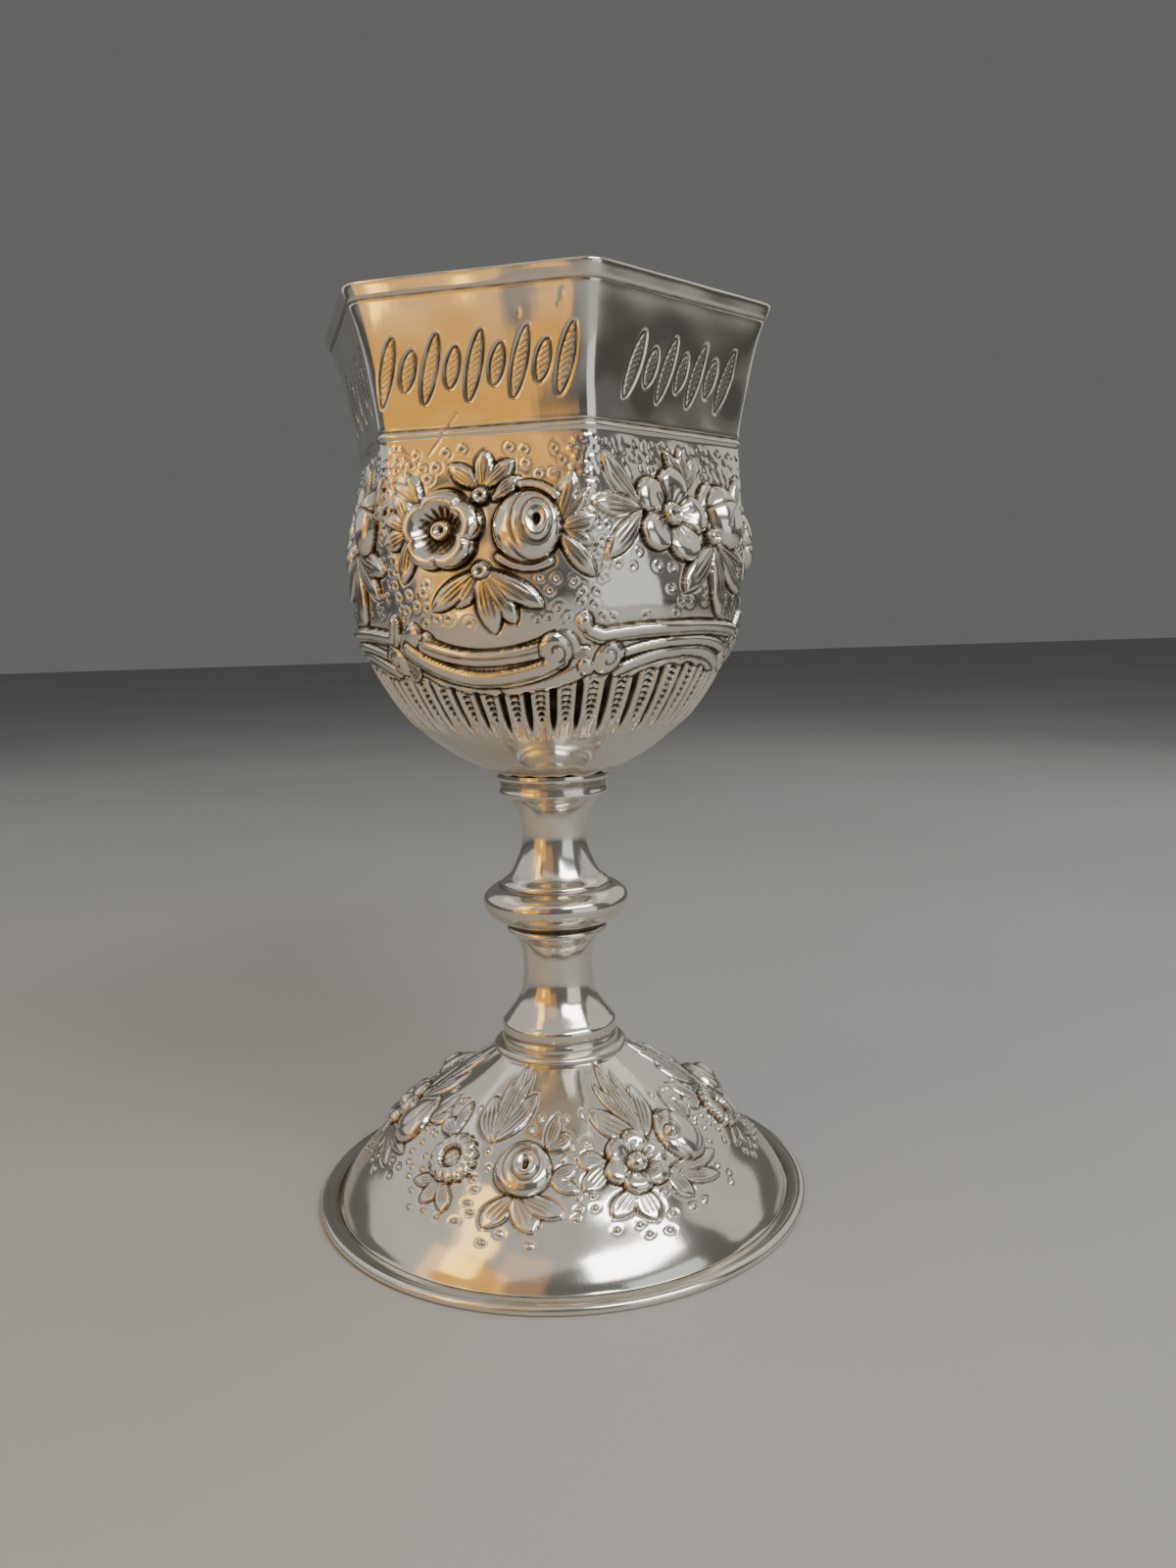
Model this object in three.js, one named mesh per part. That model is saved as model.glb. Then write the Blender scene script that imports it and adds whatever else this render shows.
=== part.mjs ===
// Kiddush cup: a raised and chased silver goblet of three soldered pieces, a hexagonal bowl on a turned
// stem and a domed foot. Millimetres, +Z up. The origin is the centre of the foot's underside, and one
// corner of the bowl faces -Y. Azimuths are in degrees from -Y towards +X, and raised work is laid out on
// each face or spray with x to the right and y up, as seen from outside.

import * as THREE from 'three';

// ---------------------------------------------------------------- driving dimensions

const CUP_HEIGHT = 135;
const LIP_RADIUS = 34.9; // axis to a corner of the lip
const FOOT_RADIUS = 39.1;
const WALL = 0.8; // thickness of the raised sheet
const JOINT_GAP = 0.3; // kept between two soldered pieces

const BOWL_BASE = 68; // underside of the bowl
const FOOT_TOP = 24.3; // top of the foot, under the stem
const COLLAR_RADIUS = 8.9; // of the stem's lower collar

const CREASE = 116; // lower edge of the plain band
const LIP_STRIP = 2; // height of the raised strip along the lip

// The corners of the bowl were set out by eye, so its faces aren't quite even.
const CORNERS = [0, 62.8, 123.4, 184, 244.6, 302.4];
const SIX_SIDED_ABOVE = 113; // the bowl grows round through the garland
const ROUND_BELOW = 92;

const FLUTES_PER_FACE = 14;
const FLUTE_FOOT = 75.2;
const FLUTE_TOP = 82.2;
const FLUTE_ARCH = 2.4; // how far the flutes rise under the middle of an arched face
const RIB_LIFT = 0.4;
const GROOVE_DEPTH = 0.2;

const FLANGE_THICKNESS = 1.3;
const FLANGE_WIDTH = 3;
const SPRAYS = 6;
const FIRST_SPRAY = -36.5; // azimuth of the foot's first spray
const GARLAND_HEIGHT = 13.6; // height of the middle of the foot's garland
const GARLAND_RADIUS = 24.9;
const GARLAND_RISE = 0.62; // height gained for each millimetre up the slope

// Corner radius of the bowl by height.
const BOWL_PROFILE = [
  [BOWL_BASE, 8.8],
  [69.2, 11.2],
  [71.4, 15.2],
  [74.5, 19.3],
  [78, 22.4],
  [82.2, 25.2],
  [86.7, 27.4],
  [91, 28.9],
  [97, 29.7],
  [103.5, 30.4],
  [CREASE, 30],
  [125, 31.5],
  [130.5, 33],
  [CUP_HEIGHT, LIP_RADIUS],
];

// Radius of the foot's dome by height.
const FOOT_PROFILE = [
  [FLANGE_THICKNESS, FOOT_RADIUS - FLANGE_WIDTH],
  [2.6, 35.3],
  [5, 33.4],
  [8, 30.5],
  [12, 26.8],
  [16, 21.9],
  [19, 17.1],
  [21.5, 12.9],
  [FOOT_TOP - 0.9, 10],
];

// Radius of the stem by height, from its lower collar to its upper one.
const STEM_PROFILE = [
  [FOOT_TOP + JOINT_GAP, COLLAR_RADIUS - 0.3],
  [25.6, COLLAR_RADIUS],
  [28.1, COLLAR_RADIUS],
  [28.6, 8.5],
  [30.8, 7],
  [32.4, 6.1],
  [35, 5.5],
  [38.9, 5.6],
  [41.2, 6.2],
  [42.5, 7.1],
  [43, 7.9],
  [43.5, 7.8],
  [45.1, 10],
  [46.3, 11.1],
  [47.5, 11.55],
  [48.7, 11.2],
  [49.8, 10],
  [50.2, 8.6],
  [50.9, 8.3],
  [51.7, 7.2],
  [53.5, 6.2],
  [56, 5.3],
  [58.5, 5.05],
  [61.2, 5.5],
  [63.6, 6.8],
  [64.7, 7.9],
  [65.2, 8.4],
  [67.1, 8.4],
  [BOWL_BASE - JOINT_GAP, 8.8],
];
const STEM_SIDES = 21;

const SILVER = { color: 0xc9c5ba, metalness: 1 };

// ---------------------------------------------------------------- curves and places

const radians = THREE.MathUtils.degToRad;
const degrees = THREE.MathUtils.radToDeg;

// Smooth value through [position, value] knots, with its slope.
function along(knots, position) {
  const last = knots.length - 2;
  let i = 0;
  while (i < last && position > knots[i + 1][0]) i += 1;
  const rise = (a, b) => (knots[b][1] - knots[a][1]) / (knots[b][0] - knots[a][0]);
  const step = knots[i + 1][0] - knots[i][0];
  const t = (position - knots[i][0]) / step;
  const slope0 = rise(Math.max(i - 1, 0), i + 1) * step;
  const slope1 = rise(i, Math.min(i + 2, knots.length - 1)) * step;
  const drop = knots[i][1] - knots[i + 1][1];
  const cubic = 2 * drop + slope0 + slope1;
  const square = -3 * drop - 2 * slope0 - slope1;
  return {
    value: ((cubic * t + square) * t + slope0) * t + knots[i][1],
    slope: ((3 * cubic * t + 2 * square) * t + slope0) / step,
  };
}

function polar(azimuth, radius, height) {
  const angle = radians(azimuth);
  return [radius * Math.sin(angle), -radius * Math.cos(angle), height];
}

// The face of the bowl at an azimuth, with its middle and half width in degrees.
function faceAt(azimuth) {
  const turned = (azimuth + 360) % 360;
  const face = CORNERS.findLastIndex((corner) => turned > corner - 1e-6);
  return faceSpan(face);
}

function faceSpan(face) {
  const start = CORNERS[face];
  const end = face + 1 < CORNERS.length ? CORNERS[face + 1] : 360;
  return { face, middle: (start + end) / 2, half: (end - start) / 2 };
}

// Ratio of the bowl's radius at an azimuth and a height to its corner radius there.
function sixSidedShare(azimuth, height) {
  const { middle, half } = faceAt(azimuth);
  const turned = (azimuth + 360) % 360;
  const flat = Math.cos(radians(half)) / Math.cos(radians(turned - middle));
  return THREE.MathUtils.lerp(1, flat, THREE.MathUtils.smoothstep(height, ROUND_BELOW, SIX_SIDED_ABOVE));
}

// A point of the bowl's skin, lifted square to its profile.
function onBowl(azimuth, height, lift = 0) {
  const { value, slope } = along(BOWL_PROFILE, height);
  const steep = Math.hypot(1, slope);
  const radius = value * sixSidedShare(azimuth, height) + lift / steep;
  return polar(azimuth, radius, height - (lift * slope) / steep);
}

// A point of the foot's dome, lifted square to its profile.
function onFoot(azimuth, height, lift = 0) {
  const { value, slope } = along(FOOT_PROFILE, height);
  const steep = Math.hypot(1, slope);
  return polar(azimuth, value + lift / steep, height - (lift * slope) / steep);
}

// Azimuths that divide each sector between seams evenly, with a column on each seam.
function columns(seams, perSector) {
  return seams.flatMap((start, i) => {
    const end = i + 1 < seams.length ? seams[i + 1] : seams[0] + 360;
    return Array.from({ length: perSector }, (_, j) => start + ((end - start) * j) / perSector);
  });
}

// ---------------------------------------------------------------- raised forms

// Each form has its height at a place in its layout, and the marks that a faceted skin needs to show it:
// first those on its crest, then those on its shoulder, then those round its outline.

function turned([x, y], turn, a, b) {
  const c = Math.cos(radians(turn));
  const s = Math.sin(radians(turn));
  return [x + a * c - b * s, y + a * s + b * c];
}

function ovalMarks(centre, reach, across, turn, count) {
  return columns([0], count).map((angle) => {
    const a = radians(angle);
    return turned(centre, turn, reach * Math.cos(a), across * Math.sin(a));
  });
}

// Distance from the middle of an oval, 1 on its outline.
function ovalShare([cx, cy], reach, across, turn) {
  return (x, y) => {
    const [a, b] = turned([0, 0], -turn, x - cx, y - cy);
    return Math.hypot(a / reach, b / across);
  };
}

function cushion(centre, reach, across, turn, height, sides = 7) {
  const share = ovalShare(centre, reach, across, turn);
  return {
    height: (x, y) => height * Math.sqrt(Math.max(0, 1 - share(x, y) ** 2)),
    marks: [
      [centre],
      ovalMarks(centre, 0.7 * reach, 0.7 * across, turn, sides),
      ovalMarks(centre, reach, across, turn, sides + 1),
    ],
  };
}

// A ring with a sunk middle.
function eyelet(centre, radius, height) {
  const share = ovalShare(centre, radius, radius, 0);
  const crest = 0.62;
  return {
    height: (x, y) => {
      const across = (share(x, y) - crest) / (1 - crest);
      const middle = share(x, y) < crest ? 0.3 : 0;
      return height * Math.max(middle, 1 - across * across);
    },
    marks: [
      [centre, ...ovalMarks(centre, crest * radius, crest * radius, 0, 6)],
      [],
      ovalMarks(centre, radius, radius, 30, 6),
    ],
  };
}

// A full leaf with a short point, widest past its middle.
function leaf(base, direction, length, width, height) {
  const widest = 0.59;
  const halfAt = (t) => (width / 2) * Math.sin(Math.PI * t ** 1.25) ** 0.7;
  return {
    height: (x, y) => {
      const [a, b] = turned([0, 0], -direction, x - base[0], y - base[1]);
      const t = a / length;
      if (t <= 0 || t >= 1) return 0;
      return height * Math.sqrt(Math.max(0, 1 - (b / halfAt(t)) ** 2));
    },
    marks: [
      [0.3, widest, 0.8].map((t) => turned(base, direction, t * length, 0)),
      [],
      [
        turned(base, direction, length, 0),
        ...[0.35, widest, 0.82].flatMap((t) => [
          turned(base, direction, t * length, halfAt(t)),
          turned(base, direction, t * length, -halfAt(t)),
        ]),
      ],
    ],
  };
}

// Leaves that spread from one base, each given as [direction, length].
function fan(base, leaves, width, height) {
  return leaves.map(([direction, length]) => leaf(base, direction, length, width, height));
}

// Petals set round a centre.
function petals(centre, count, firstAngle, distance, radius, height) {
  return columns([0], count).map((step) => {
    const middle = turned(centre, firstAngle + step, distance, 0);
    return cushion(middle, radius, radius, firstAngle + step, height, 6);
  });
}

// A rounded ridge that follows a path.
function ridge(path, width, height) {
  const sides = path.flatMap(([x, y], i) => {
    const before = path[Math.max(i - 1, 0)];
    const after = path[Math.min(i + 1, path.length - 1)];
    const heading = degrees(Math.atan2(after[1] - before[1], after[0] - before[0]));
    return [-1, 1].map((side) => turned([x, y], heading, 0, (side * width) / 2));
  });
  return {
    height: (x, y) => {
      const share = distanceTo(path, x, y) / (width / 2);
      return height * Math.sqrt(Math.max(0, 1 - share * share));
    },
    marks: [path, [], sides],
  };
}

function distanceTo(path, x, y) {
  const steps = path.slice(1).map(([x1, y1], i) => {
    const [x0, y0] = path[i];
    const [dx, dy] = [x1 - x0, y1 - y0];
    const t = THREE.MathUtils.clamp(((x - x0) * dx + (y - y0) * dy) / (dx * dx + dy * dy), 0, 1);
    return Math.hypot(x - x0 - t * dx, y - y0 - t * dy);
  });
  return Math.min(...steps);
}

function curvePath(from, to, steps, place) {
  return Array.from({ length: steps + 1 }, (_, i) => place(from + ((to - from) * i) / steps));
}

function arcPath(centre, radius, from, to, steps) {
  return curvePath(from, to, steps, (angle) => turned(centre, angle, radius, 0));
}

function heightOf(forms, x, y) {
  return Math.max(0, ...forms.map((form) => form.height(x, y)));
}

// The marks of several layouts, crests before shoulders before outlines. Each layout places its own.
function rankedMarks(layouts) {
  return [0, 1, 2].flatMap((rank) =>
    layouts.flatMap(({ forms, place }) => forms.flatMap((form) => form.marks[rank]).map(place))
  );
}

// ---------------------------------------------------------------- skins

// Delaunay triangles of flat points, each turning counterclockwise.
function delaunay(points) {
  const far = 3000;
  const count = points.length;
  const all = [...points, [-far, -far], [far, -far], [0, far]];
  let triangles = [[count, count + 1, count + 2]];
  points.forEach(([x, y], p) => {
    const isHit = (triangle) => {
      const [[ax, ay, a], [bx, by, b], [cx, cy, c]] = triangle.map((i) => {
        const [dx, dy] = [all[i][0] - x, all[i][1] - y];
        return [dx, dy, dx * dx + dy * dy];
      });
      return ax * (by * c - b * cy) - ay * (bx * c - b * cx) + a * (bx * cy - by * cx) > 1e-9;
    };
    const hit = new Set(triangles.filter(isHit));
    const edges = [...hit].flatMap(([a, b, c]) => [[a, b], [b, c], [c, a]]);
    const rim = edges.filter(([a, b]) => !edges.some(([c, d]) => c === b && d === a));
    triangles = triangles.filter((triangle) => !hit.has(triangle));
    triangles.push(...rim.map(([a, b]) => [a, b, p]));
  });
  return triangles.filter((triangle) => Math.max(...triangle) < count);
}

// A closed skin, from a point on the axis through rings of points to a point on the axis again. Seen from
// outside, azimuth runs to the right and each next ring lies above the last.
class Skin {
  constructor(start) {
    this.points = [start];
    this.triangles = [];
    this.last = null;
  }

  add(point) {
    return this.points.push(point) - 1;
  }

  place(azimuths, point) {
    return azimuths.map((azimuth, i) => ({ azimuth, index: this.add(point(azimuth, i)) }));
  }

  // Adds a ring. Neighbouring rings may differ in number of columns.
  ring(azimuths, point) {
    const ring = this.place(azimuths, point);
    if (this.last) this.stitch(this.last, ring);
    else this.fan(ring, 0, false);
    this.last = ring;
  }

  close(end) {
    this.fan(this.last, this.add(end), true);
  }

  fan(ring, centre, isEnd) {
    ring.forEach(({ index }, i) => {
      const next = ring[(i + 1) % ring.length].index;
      this.triangles.push(...(isEnd ? [index, next, centre] : [next, index, centre]));
    });
  }

  stitch(before, after) {
    const at = (ring, i) => ring[i % ring.length].index;
    const turn = (ring, i) => ring[i % ring.length].azimuth + 360 * Math.floor(i / ring.length);
    let i = 0;
    let j = 0;
    while (i < before.length || j < after.length) {
      const isBefore = j >= after.length || (i < before.length && turn(before, i + 1) <= turn(after, j + 1));
      if (isBefore) {
        this.triangles.push(at(before, i), at(before, i + 1), at(after, j));
        i += 1;
      } else {
        this.triangles.push(at(before, i), at(after, j + 1), at(after, j));
        j += 1;
      }
    }
  }

  // Adds a ring with raised work between it and the last one. The work is laid out in sectors between
  // seams. Rows are the heights of the points on a seam, and marks are [azimuth, height] places.
  quilt(azimuths, ringPoint, { seams, rows, marks, point, low, high, size }) {
    const lower = this.last;
    const upper = this.place(azimuths, ringPoint);
    const edge = seams.map((seam) => rows.map((row) => ({ row, index: this.add(point(seam, row)) })));
    seams.forEach((start, i) => {
      const next = (i + 1) % seams.length;
      const end = next ? seams[next] : seams[0] + 360;
      const share = (azimuth) => (azimuth - start) / (end - start);
      const rise = (azimuth, height) => (height - low(azimuth)) / (high - low(azimuth));
      const border = [
        ...this.sector(lower, start, end).map(({ azimuth, index }) => [share(azimuth), 0, index]),
        ...this.sector(upper, start, end).map(({ azimuth, index }) => [share(azimuth), 1, index]),
        ...edge[i].map(({ row, index }) => [0, rise(start, row), index]),
        ...edge[next].map(({ row, index }) => [1, rise(end, row), index]),
      ];
      const flat = border.map(([u, v]) => bowed(u, v, size));
      const indices = border.map(([, , index]) => index);
      for (const [azimuth, height] of marks) {
        const turnedBy = azimuth < start ? azimuth + 360 : azimuth;
        const [u, v] = [share(turnedBy), rise(turnedBy, height)];
        const spot = bowed(u, v, size);
        const isInside = u > 0.02 && u < 0.98 && v > 0.02 && v < 0.98;
        const isFree = flat.every(([x, y]) => Math.hypot(x - spot[0], y - spot[1]) > MARK_SPACING);
        if (isInside && isFree) {
          flat.push(spot);
          indices.push(this.add(point(turnedBy, height)));
        }
      }
      this.triangles.push(...delaunay(flat).flat().map((corner) => indices[corner]));
    });
    this.last = upper;
  }

  sector(ring, start, end) {
    const unrolled = [...ring, { azimuth: ring[0].azimuth + 360, index: ring[0].index }];
    return unrolled.filter(({ azimuth }) => azimuth > start - 1e-6 && azimuth < end + 1e-6);
  }

  mesh(name, roughness) {
    const geometry = new THREE.BufferGeometry();
    geometry.setAttribute('position', new THREE.Float32BufferAttribute(this.points.flat(), 3));
    geometry.setIndex(this.triangles);
    return silverMesh(name, geometry, roughness);
  }
}

const MARK_SPACING = 0.7;

// A place in a sector laid flat, with its four sides bowed slightly outwards.
function bowed(u, v, [width, height]) {
  const bow = 0.03;
  return [
    (u - 0.5) * width * (1 + bow * 4 * v * (1 - v)),
    (v - 0.5) * height * (1 + bow * 4 * u * (1 - u)),
  ];
}

function silverMesh(name, geometry, roughness) {
  const mesh = new THREE.Mesh(geometry, new THREE.MeshStandardMaterial({ ...SILVER, roughness }));
  mesh.name = name;
  return mesh;
}

// ---------------------------------------------------------------- bowl

// Faces alternate: a bud spray over an arched scroll, then a rose spray over a sagging scroll.
const isArched = (face) => face % 2 === 0;

function roseSpray() {
  const flower = [-4.9, 103.3];
  return [
    ...petals(flower, 6, 30, 3.3, 2.1, 2.4),
    eyelet(flower, 1.4, 1.6),
    cushion([6.2, 103.4], 4.4, 4.7, 0, 2.2, 9),
    eyelet([7.5, 104.1], 2.1, 3),
    eyelet([0, 107.6], 1.1, 1.2),
    eyelet([0.3, 98], 1.1, 1.2),
    ...fan([0.2, 108.6], [[142, 5.6], [92, 4.8], [42, 5]], 2.3, 1.1),
    ...fan([10.2, 103], [[72, 6.6], [16, 5.6], [-50, 7.6]], 2.9, 1.2),
    ...fan([-9.2, 103.2], [[125, 6], [175, 4.8], [-112, 6.4]], 2.7, 1.1),
    ...fan([0.3, 97.8], [[-138, 7.2], [-108, 5], [-77, 7.8], [-38, 7.6]], 2.9, 1.1),
  ];
}

function budSpray() {
  const flower = [-2.1, 105.1];
  return [
    ...petals(flower, 5, 1, 4.3, 2.6, 2.4),
    eyelet(flower, 1.7, 1.8),
    cushion([8.8, 105.1], 3.3, 4.5, 0, 2.9, 9),
    eyelet([4.9, 102.3], 1.1, 1.5),
    ...fan([-7.9, 105.4], [[129, 8.6], [175, 7], [-126, 7.6]], 2.9, 1.4),
    ...fan([3.2, 109.2], [[138, 5.9], [104, 5.2], [58, 4.2]], 2, 1.1),
    ...fan([4.9, 101.4], [[-131, 8.8], [-84, 9.9], [-46, 8.8], [-18, 9]], 3, 1.3),
  ];
}

// A scroll that sags between two corners and curls up at its right end.
function saggingScroll() {
  const sag = (lowest, rise) => (x) => [x, lowest + rise * (x / 10) ** 2];
  const curl = arcPath([8.6, 87.4], 1.7, -20, 170, 4);
  return [
    ridge([...curvePath(-11, 8.5, 11, sag(83.4, 2.8)), ...curl], 1.9, 1.1),
    ridge(curvePath(-7.5, 6.8, 8, sag(86.3, 3)), 1.7, 0.9),
    cushion([-10.4, 89], 1.6, 1.9, 0, 0.9),
    ...fan([9.6, 84], [[8, 4.4], [42, 5.2]], 2, 0.9),
  ];
}

// A scroll that arches between two corners, with a curl under each end.
function archedScroll() {
  const arch = (highest, fall) => (x) => [x, highest - fall * (x / 10) ** 2];
  const hook = arcPath([-16.4, 90.4], 1.5, 200, 20, 4);
  return [
    ridge([...hook, ...curvePath(-14, 12.5, 15, arch(90.1, 0.7))], 1.9, 1.1),
    ridge(curvePath(-9.6, 9.6, 11, arch(87.7, 2.2)), 1.6, 0.9),
    ...[-11.4, 11.4].map((x) => cushion([x, 86.2], 1.8, 2, 0, 1.2)),
  ];
}

const FACE_WORK = [
  [...budSpray(), ...archedScroll()],
  [...roseSpray(), ...saggingScroll()],
];

function fluteTop(azimuth) {
  const { face, middle, half } = faceAt(azimuth);
  const side = (((azimuth + 360) % 360) - middle) / half;
  return FLUTE_TOP + (isArched(face) ? FLUTE_ARCH * (1 - side * side) : 0);
}

function bowlWork() {
  const faces = CORNERS.map((_, face) => ({ ...faceSpan(face), forms: FACE_WORK[isArched(face) ? 0 : 1] }));
  const apothem = (half, height) => along(BOWL_PROFILE, height).value * Math.cos(radians(half));
  const relief = (azimuth, height) => {
    const lifts = faces.map(({ middle, half, forms }) => {
      const off = ((azimuth - middle + 540) % 360) - 180;
      return Math.abs(off) < 50 ? heightOf(forms, apothem(half, height) * Math.tan(radians(off)), height) : 0;
    });
    return Math.max(...lifts);
  };
  const layouts = faces.map(({ middle, half, forms }) => ({
    forms,
    place: ([x, y]) => [(middle + degrees(Math.atan2(x, apothem(half, y))) + 360) % 360, y],
  }));
  const plain = [86, 90, 94, 98, 102, 106, 110, 113].flatMap((height) =>
    columns(CORNERS, 8).map((azimuth) => [azimuth, height])
  );
  return { relief, marks: [...rankedMarks(layouts), ...plain] };
}

function bowl() {
  const skin = new Skin([0, 0, BOWL_BASE]);
  const fluted = columns(CORNERS, 2 * FLUTES_PER_FACE);
  const round = columns(CORNERS, 8);
  const coarse = columns(CORNERS, 4);
  const flat = columns(CORNERS, 2);
  const rib = (i) => (i % 2 ? -GROOVE_DEPTH : RIB_LIFT);

  for (const height of [BOWL_BASE, 69.2]) skin.ring(coarse, (azimuth) => onBowl(azimuth, height));
  for (const height of [71.8, FLUTE_FOOT]) skin.ring(round, (azimuth) => onBowl(azimuth, height));
  skin.ring(fluted, (azimuth, i) => onBowl(azimuth, FLUTE_FOOT + 3.4, rib(i)));
  skin.ring(fluted, (azimuth, i) => onBowl(azimuth, fluteTop(azimuth), rib(i)));

  const { relief, marks } = bowlWork();
  const top = CREASE - 0.4;
  skin.quilt(round, (azimuth) => onBowl(azimuth, top), {
    seams: CORNERS,
    rows: [84.5, 87, 89.5, 92, 95, 98, 101, 104, 107, 110, 113],
    marks,
    point: (azimuth, height) => onBowl(azimuth, height, relief(azimuth, height)),
    low: fluteTop,
    high: top,
    size: [31, top - FLUTE_TOP],
  });

  // The plain band, between a raised line at its foot and the raised strip of the lip.
  const strip = CUP_HEIGHT - LIP_STRIP;
  const band = [
    [CREASE, 0.35],
    [CREASE + 0.5, 0],
    [120.5, 0],
    [125, 0],
    [130, 0],
    [strip - 0.3, -0.1],
    [strip, 0.25],
    [CUP_HEIGHT - 0.2, 0.1],
    [CUP_HEIGHT, -0.2],
    [CUP_HEIGHT, 0.2 - WALL],
  ];
  for (const [height, lift] of band) {
    skin.ring(flat, (azimuth) => [...onBowl(azimuth, height, lift).slice(0, 2), height]);
  }

  for (const height of [128, CREASE]) skin.ring(flat, (azimuth) => onBowl(azimuth, height, -WALL));
  for (const height of [107, 98, 90, 83, 77, 73, 70]) {
    skin.ring(coarse, (azimuth) => onBowl(azimuth, height, -WALL));
  }
  skin.close([0, 0, BOWL_BASE + WALL + 0.4]);
  return skin.mesh('bowl', 0.16);
}

// ---------------------------------------------------------------- stem

function stem() {
  const ends = [STEM_PROFILE[0], STEM_PROFILE.at(-1)].map(([height]) => new THREE.Vector2(0, height));
  const outline = STEM_PROFILE.map(([height, radius]) => new THREE.Vector2(radius, height));
  const geometry = new THREE.LatheGeometry([ends[0], ...outline, ends[1]], STEM_SIDES);
  geometry.rotateX(Math.PI / 2);
  return silverMesh('stem', geometry, 0.14);
}

// ---------------------------------------------------------------- foot

// Sprays alternate: a daisy with a rose, then a flower with a bud. y is up the slope from the middle.
function daisySpray() {
  return [
    cushion([-5.7, -0.3], 3.9, 3.9, 0, 1.2, 9),
    eyelet([-5.7, -0.3], 2.6, 1.6),
    cushion([5.6, 0], 4.2, 4.3, 0, 1.8, 9),
    eyelet([5.9, 0], 2, 2.5),
    ...fan([-0.6, 3.5], [[92, 9.6], [130, 6.5], [50, 7]], 3.8, 1),
    ...fan([-0.4, -3.6], [[-118, 5.4], [-62, 6.4], [-22, 8.6]], 3, 0.9),
    ...fan([-9.8, 3], [[160, 4.4], [115, 5]], 2.4, 0.8),
  ];
}

function flowerSpray() {
  const flower = [-4.9, -0.3];
  return [
    ...petals(flower, 6, 15, 3.1, 2, 1.6),
    eyelet(flower, 1.8, 1.8),
    cushion([5.4, 1.2], 4.3, 4.9, 20, 2, 9),
    cushion([3.3, 2], 1.2, 1.2, 0, 2.6, 5),
    ...fan([-1, 3.4], [[95, 12], [143, 8.8], [62, 8]], 4, 1),
    ...fan([-10, 0.4], [[178, 4.6], [-140, 4.4]], 2.8, 0.8),
    ...fan([-1.5, -3.6], [[-128, 5.4], [-88, 5], [-40, 6.6]], 2.8, 0.9),
  ];
}

function footWork() {
  const seamStep = 360 / SPRAYS;
  const sprays = columns([FIRST_SPRAY], SPRAYS).map((middle, i) => ({
    middle,
    forms: i % 2 ? flowerSpray() : daisySpray(),
  }));
  const relief = (azimuth, height) => {
    const lifts = sprays.map(({ middle, forms }) => {
      const off = ((azimuth - middle + 540) % 360) - 180;
      const x = radians(off) * GARLAND_RADIUS;
      return Math.abs(off) < seamStep ? heightOf(forms, x, (height - GARLAND_HEIGHT) / GARLAND_RISE) : 0;
    });
    return Math.max(...lifts);
  };
  const layouts = sprays.map(({ middle, forms }) => ({
    forms,
    place: ([x, y]) => [
      (middle + degrees(x / GARLAND_RADIUS) + 360) % 360,
      GARLAND_HEIGHT + y * GARLAND_RISE,
    ],
  }));
  const plain = [6, 9.5, 13, 16, 19, 21].flatMap((height) =>
    columns([0], 18).map((azimuth) => [azimuth, height])
  );
  const seams = columns([FIRST_SPRAY + seamStep / 2], SPRAYS);
  return { relief, marks: [...rankedMarks(layouts), ...plain], seams };
}

function foot() {
  const inner = FOOT_RADIUS - FLANGE_WIDTH - 0.9;
  const { relief, marks, seams } = footWork();
  const round = columns(seams, 8);
  const coarse = columns(seams, 5);
  const skin = new Skin([0, 0, FOOT_TOP - WALL]);
  for (const height of [22.4, 19, 14, 8.5, 4]) skin.ring(coarse, (azimuth) => onFoot(azimuth, height, -WALL));
  skin.ring(coarse, (azimuth) => polar(azimuth, inner, 0));

  const flange = [
    [FOOT_RADIUS - 0.3, 0],
    [FOOT_RADIUS, 0.4],
    [FOOT_RADIUS, FLANGE_THICKNESS - 0.4],
    [FOOT_RADIUS - 0.3, FLANGE_THICKNESS],
    [FOOT_RADIUS - FLANGE_WIDTH, FLANGE_THICKNESS - 0.1],
  ];
  for (const [radius, height] of flange) skin.ring(round, (azimuth) => polar(azimuth, radius, height));

  const low = 3.5;
  const high = 21.8;
  skin.ring(round, (azimuth) => onFoot(azimuth, low));
  skin.quilt(coarse, (azimuth) => onFoot(azimuth, high), {
    seams,
    rows: [6, 9, 12, 15, 18],
    marks,
    point: (azimuth, height) => onFoot(azimuth, height, relief(azimuth, height)),
    low: () => low,
    high,
    size: [26, (high - low) / GARLAND_RISE],
  });

  // A small raised ring above the dome, then the seat of the stem.
  const seat = [
    [9.6, FOOT_TOP - 0.8],
    [9.9, FOOT_TOP - 0.4],
    [9.5, FOOT_TOP],
  ];
  for (const [radius, height] of seat) skin.ring(coarse, (azimuth) => polar(azimuth, radius, height));
  skin.close([0, 0, FOOT_TOP]);
  return skin.mesh('foot', 0.16);
}

const cup = new THREE.Group();
cup.add(bowl(), stem(), foot());

export default cup;
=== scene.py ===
"""Kiddush cup: a chased silver goblet with a hexagonal bowl, a turned stem and a domed foot.

Work on the skins is laid out in millimetres. Azimuths are in degrees from -Y towards +X. On each face of
the bowl and each spray of the foot, x runs to the right and y runs up, as seen from outside.
"""

import bpy
import numpy as np
from mathutils import Matrix, Vector


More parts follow.
